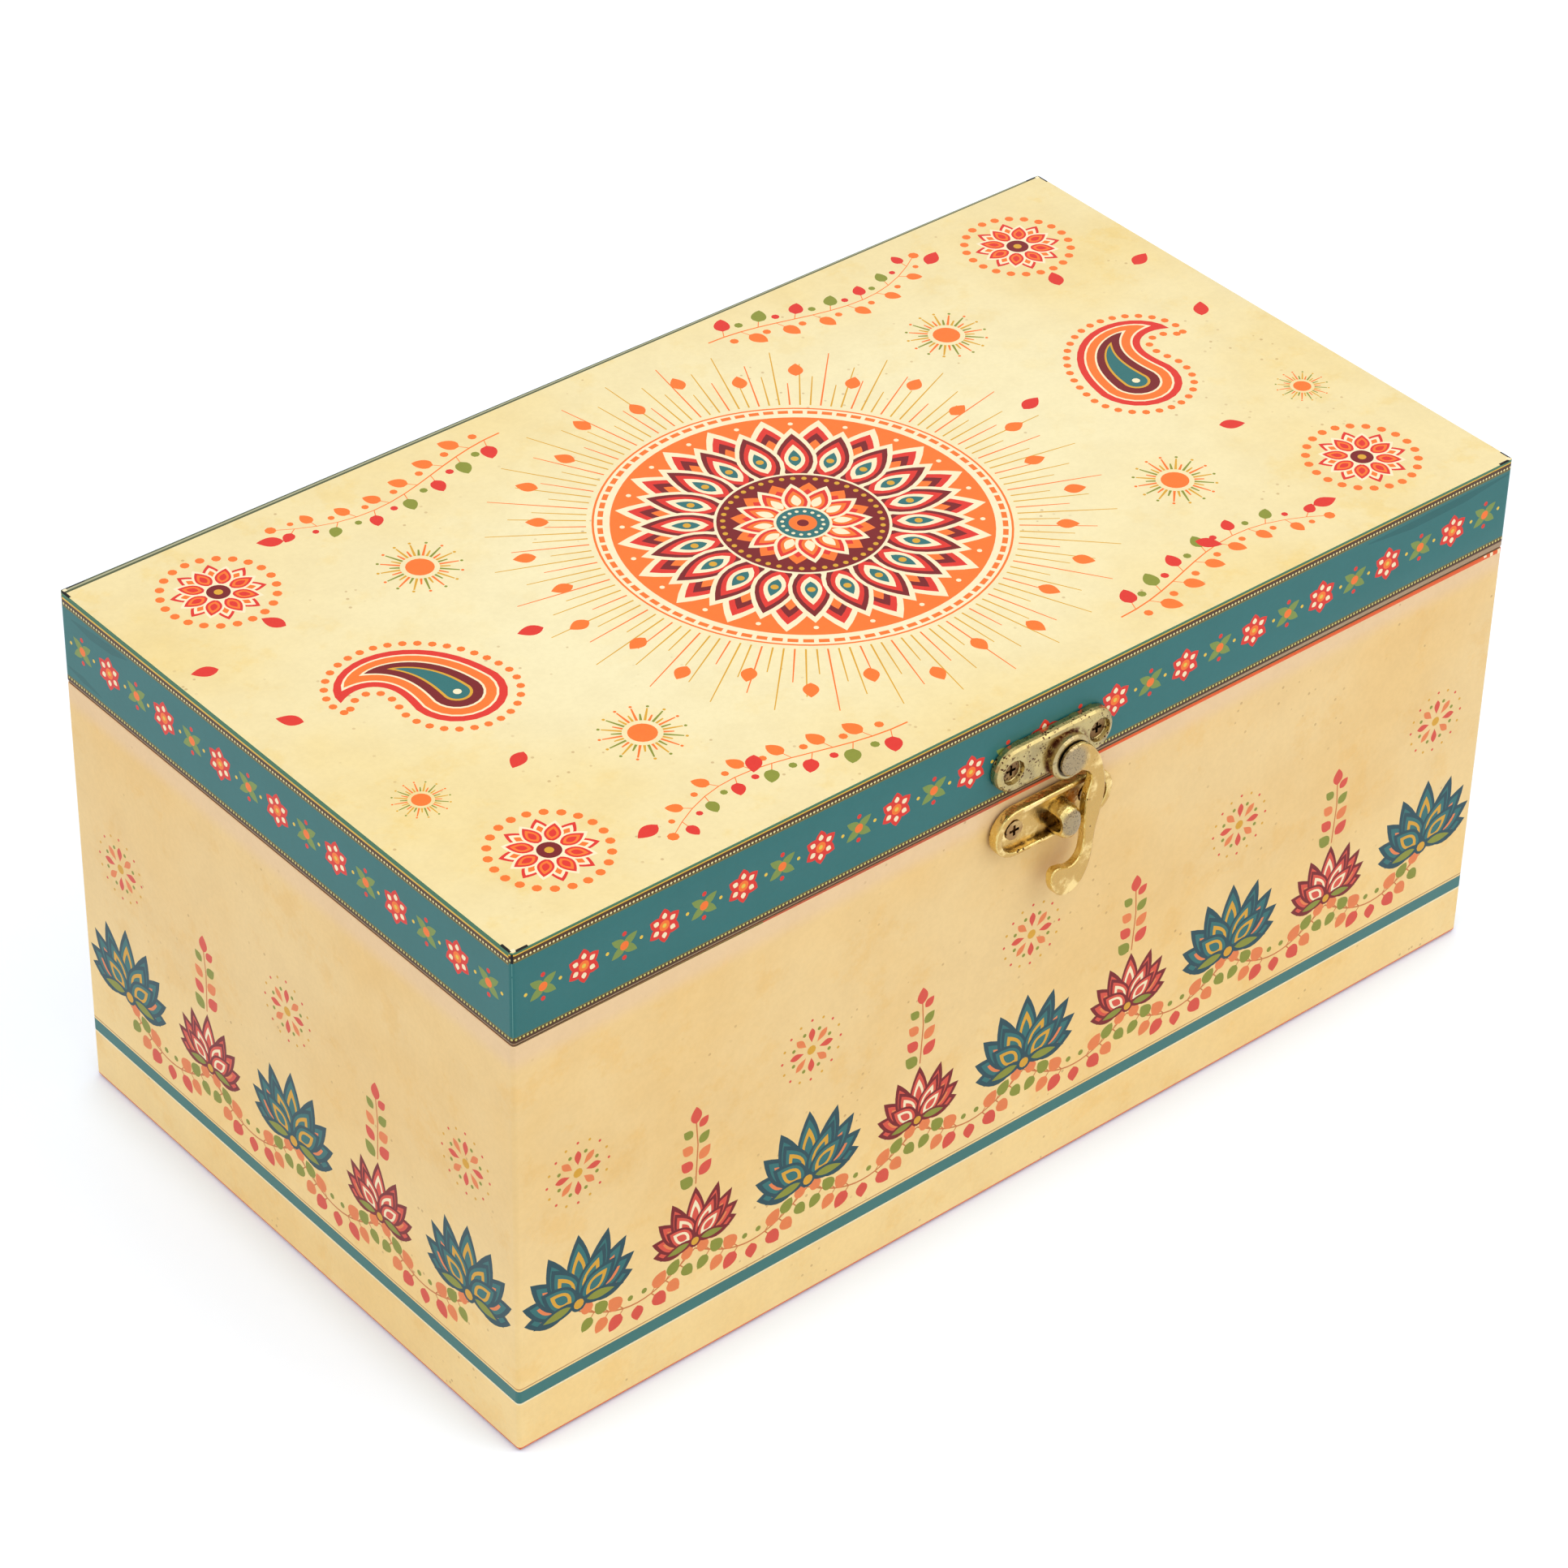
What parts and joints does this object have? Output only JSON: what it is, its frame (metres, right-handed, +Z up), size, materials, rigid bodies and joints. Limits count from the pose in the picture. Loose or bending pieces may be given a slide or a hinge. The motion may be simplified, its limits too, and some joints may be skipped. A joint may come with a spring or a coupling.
{
  "type": "jar gift box",
  "caption": "Rectangular gift box with a hinged lid, printed paper wrap, inner jar dividers and a swing-hook latch on the front.",
  "frame": {"origin": "middle of the box's footprint, on the surface that it stands on", "axes": "+X to the right seen from the latch side, along the long side; +Y towards the hinges; +Z up"},
  "size_m": [0.28, 0.1685, 0.134],
  "materials": {
    "painted_board": "fibreboard with satin orange-red paint",
    "divider_board": "bare fibreboard",
    "cream_print": "printed cream paper under satin film",
    "teal_print": "printed teal paper under satin film",
    "aged_brass": "worn silver-gold plating with rust spots",
    "bright_brass": "polished plating, lightly worn",
    "rusty_steel": "rusted steel",
    "hinge_brass": "plain brass plating"
  },
  "bodies": {
    "box": {"base_panel": "painted_board", "front_panel": "painted_board", "back_panel": "painted_board", "left_panel": "painted_board", "right_panel": "painted_board", "body_wrap": "cream_print", "long_divider": "divider_board", "cross_divider_1": "divider_board", "cross_divider_2": "divider_board", "cross_divider_3": "divider_board", "keeper_plate": "bright_brass", "keeper_screw_left": "rusty_steel", "keeper_screw_right": "rusty_steel", "hinge_body_leaf_left": "hinge_brass", "hinge_body_leaf_right": "hinge_brass", "hinge_pin_left": "hinge_brass", "hinge_pin_right": "hinge_brass", "hinge_body_screw_left_1": "hinge_brass", "hinge_body_screw_left_2": "hinge_brass", "hinge_body_screw_right_1": "hinge_brass", "hinge_body_screw_right_2": "hinge_brass"},
    "lid": {"lid_panel": "painted_board", "lid_front_rail": "painted_board", "lid_back_rail": "painted_board", "lid_left_rail": "painted_board", "lid_right_rail": "painted_board", "lid_band": "teal_print", "lid_top_sheet": "cream_print", "latch_plate": "aged_brass", "latch_screw_left": "rusty_steel", "latch_screw_right": "rusty_steel", "hinge_lid_leaf_left": "hinge_brass", "hinge_lid_leaf_right": "hinge_brass", "hinge_lid_screw_left_1": "hinge_brass", "hinge_lid_screw_left_2": "hinge_brass", "hinge_lid_screw_right_1": "hinge_brass", "hinge_lid_screw_right_2": "hinge_brass"},
    "hook": {"swing_hook": "bright_brass", "pivot_washer": "rusty_steel"}
  },
  "joints": [
    {"name": "lid_hinge", "type": "hinge", "parent": "box", "child": "lid", "pos_m": [0, 0.081, 0.1105], "axis": [-1, 0, 0], "range_deg": [0, 180]},
    {"name": "hook_swing", "type": "hinge", "parent": "lid", "child": "hook", "pos_m": [0.0042, -0.0824, 0.1172], "axis": [0, -1, 0], "range_deg": [0, 120]}
  ]
}
